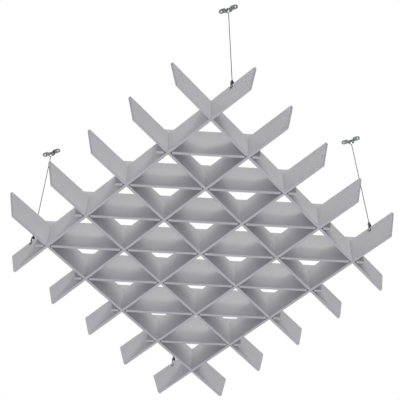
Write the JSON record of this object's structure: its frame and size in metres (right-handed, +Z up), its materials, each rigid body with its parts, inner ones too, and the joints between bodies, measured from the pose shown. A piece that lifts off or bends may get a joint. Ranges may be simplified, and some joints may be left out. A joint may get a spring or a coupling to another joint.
{
  "type": "hanging acoustic ceiling raft",
  "caption": "Square lattice of slotted felt slats with diagonal slats across its cells, hung level from the ceiling on wire cables with brackets, grippers and saddles.",
  "frame": {"origin": "in the ceiling plane, over the middle of the lattice, level with the brackets' top faces", "axes": "+Z up towards the ceiling; +X along the diagonal slats, to the right in the picture; +Y away from the picture's camera"},
  "size_m": [1.4128, 1.4128, 0.79],
  "materials": {
    "felt": "matt needle felt",
    "polished_steel": "polished",
    "cable_wire": "stranded wire",
    "dark_steel": "dark nickel"
  },
  "bodies": {
    "root": {"ceiling_bracket_1": "polished_steel", "ceiling_bracket_2": "polished_steel", "ceiling_bracket_3": "polished_steel", "ceiling_bracket_4": "polished_steel"},
    "cable_1": {"ceiling_barrel_1": "polished_steel", "cable_1": "cable_wire"},
    "gripper_1": {"cable_gripper_1": "dark_steel", "gripper_spring_1": "polished_steel", "saddle_1": "dark_steel"},
    "plunger_1": {"gripper_plunger_1": "dark_steel", "gripper_collet_1": "polished_steel"},
    "cable_2": {"ceiling_barrel_2": "polished_steel", "cable_2": "cable_wire"},
    "gripper_2": {"cable_gripper_2": "dark_steel", "gripper_spring_2": "polished_steel", "saddle_2": "dark_steel"},
    "plunger_2": {"gripper_plunger_2": "dark_steel", "gripper_collet_2": "polished_steel"},
    "cable_3": {"ceiling_barrel_3": "polished_steel", "cable_3": "cable_wire"},
    "gripper_3": {"cable_gripper_3": "dark_steel", "gripper_spring_3": "polished_steel", "saddle_3": "dark_steel"},
    "plunger_3": {"gripper_plunger_3": "dark_steel", "gripper_collet_3": "polished_steel"},
    "cable_4": {"ceiling_barrel_4": "polished_steel", "cable_4": "cable_wire"},
    "gripper_4": {"cable_gripper_4": "dark_steel", "gripper_spring_4": "polished_steel", "saddle_4": "dark_steel"},
    "plunger_4": {"gripper_plunger_4": "dark_steel", "gripper_collet_4": "polished_steel"},
    "lattice": {"bearer_slat_1": "felt", "bearer_slat_2": "felt", "bearer_slat_3": "felt", "bearer_slat_4": "felt", "bearer_slat_5": "felt", "cross_slat_1": "felt", "cross_slat_2": "felt", "cross_slat_3": "felt", "cross_slat_4": "felt", "cross_slat_5": "felt", "diagonal_slat_1": "felt", "diagonal_slat_2": "felt", "diagonal_slat_3": "felt", "diagonal_slat_4": "felt", "diagonal_slat_5": "felt", "diagonal_slat_6": "felt", "diagonal_slat_7": "felt", "cross_bolt_1": "dark_steel", "cross_nut_1": "dark_steel", "cross_bolt_2": "dark_steel", "cross_nut_2": "dark_steel", "cross_bolt_3": "dark_steel", "cross_nut_3": "dark_steel", "cross_bolt_4": "dark_steel", "cross_nut_4": "dark_steel"}
  },
  "joints": [
    {"name": "cable_1_sway", "type": "hinge", "parent": "root", "child": "cable_1", "pos_m": [0.06983, -0.62844, -0.00879], "axis": [0.7071, 0.7071, 0], "range_deg": [-10, 10]},
    {"name": "cable_2_sway", "type": "hinge", "parent": "root", "child": "cable_2", "pos_m": [0.62844, -0.06983, -0.00879], "axis": [0.7071, 0.7071, 0], "range_deg": [-10, 10]},
    {"name": "cable_3_sway", "type": "hinge", "parent": "root", "child": "cable_3", "pos_m": [-0.62844, 0.06983, -0.00879], "axis": [0.7071, 0.7071, 0], "range_deg": [-10, 10]},
    {"name": "cable_4_sway", "type": "hinge", "parent": "root", "child": "cable_4", "pos_m": [-0.06983, 0.62844, -0.00879], "axis": [0.7071, 0.7071, 0], "range_deg": [-10, 10]},
    {"name": "gripper_1_level", "type": "slide", "parent": "cable_1", "child": "gripper_1", "axis": [0, 0, 1], "range_m": [-0.01, 0.01]},
    {"name": "gripper_2_level", "type": "slide", "parent": "cable_2", "child": "gripper_2", "axis": [0, 0, 1], "range_m": [-0.01, 0.01]},
    {"name": "gripper_3_level", "type": "slide", "parent": "cable_3", "child": "gripper_3", "axis": [0, 0, 1], "range_m": [-0.01, 0.01]},
    {"name": "gripper_4_level", "type": "slide", "parent": "cable_4", "child": "gripper_4", "axis": [0, 0, 1], "range_m": [-0.01, 0.01]},
    {"name": "raft_sway", "type": "hinge", "parent": "gripper_1", "child": "lattice", "pos_m": [0.06983, -0.62844, -0.6835], "axis": [0.7071, 0.7071, 0], "range_deg": [-10, 10]},
    {"name": "plunger_1_press", "type": "slide", "parent": "gripper_1", "child": "plunger_1", "axis": [0, 0, -1], "range_m": [0, 0.0015], "stiffness_N_per_m": 2000, "springref_m": -0.001, "deforming": ["gripper_spring_1"]},
    {"name": "plunger_2_press", "type": "slide", "parent": "gripper_2", "child": "plunger_2", "axis": [0, 0, -1], "range_m": [0, 0.0015], "stiffness_N_per_m": 2000, "springref_m": -0.001, "deforming": ["gripper_spring_2"]},
    {"name": "plunger_3_press", "type": "slide", "parent": "gripper_3", "child": "plunger_3", "axis": [0, 0, -1], "range_m": [0, 0.0015], "stiffness_N_per_m": 2000, "springref_m": -0.001, "deforming": ["gripper_spring_3"]},
    {"name": "plunger_4_press", "type": "slide", "parent": "gripper_4", "child": "plunger_4", "axis": [0, 0, -1], "range_m": [0, 0.0015], "stiffness_N_per_m": 2000, "springref_m": -0.001, "deforming": ["gripper_spring_4"]}
  ],
  "couplings": [
    {"joint": "cable_1_sway", "follows": "raft_sway", "ratio": -1},
    {"joint": "cable_2_sway", "follows": "raft_sway", "ratio": -1},
    {"joint": "cable_3_sway", "follows": "raft_sway", "ratio": -1},
    {"joint": "cable_4_sway", "follows": "raft_sway", "ratio": -1},
    {"joint": "gripper_2_level", "follows": "gripper_1_level", "ratio": 1},
    {"joint": "gripper_3_level", "follows": "gripper_1_level", "ratio": 1},
    {"joint": "gripper_4_level", "follows": "gripper_1_level", "ratio": 1}
  ]
}
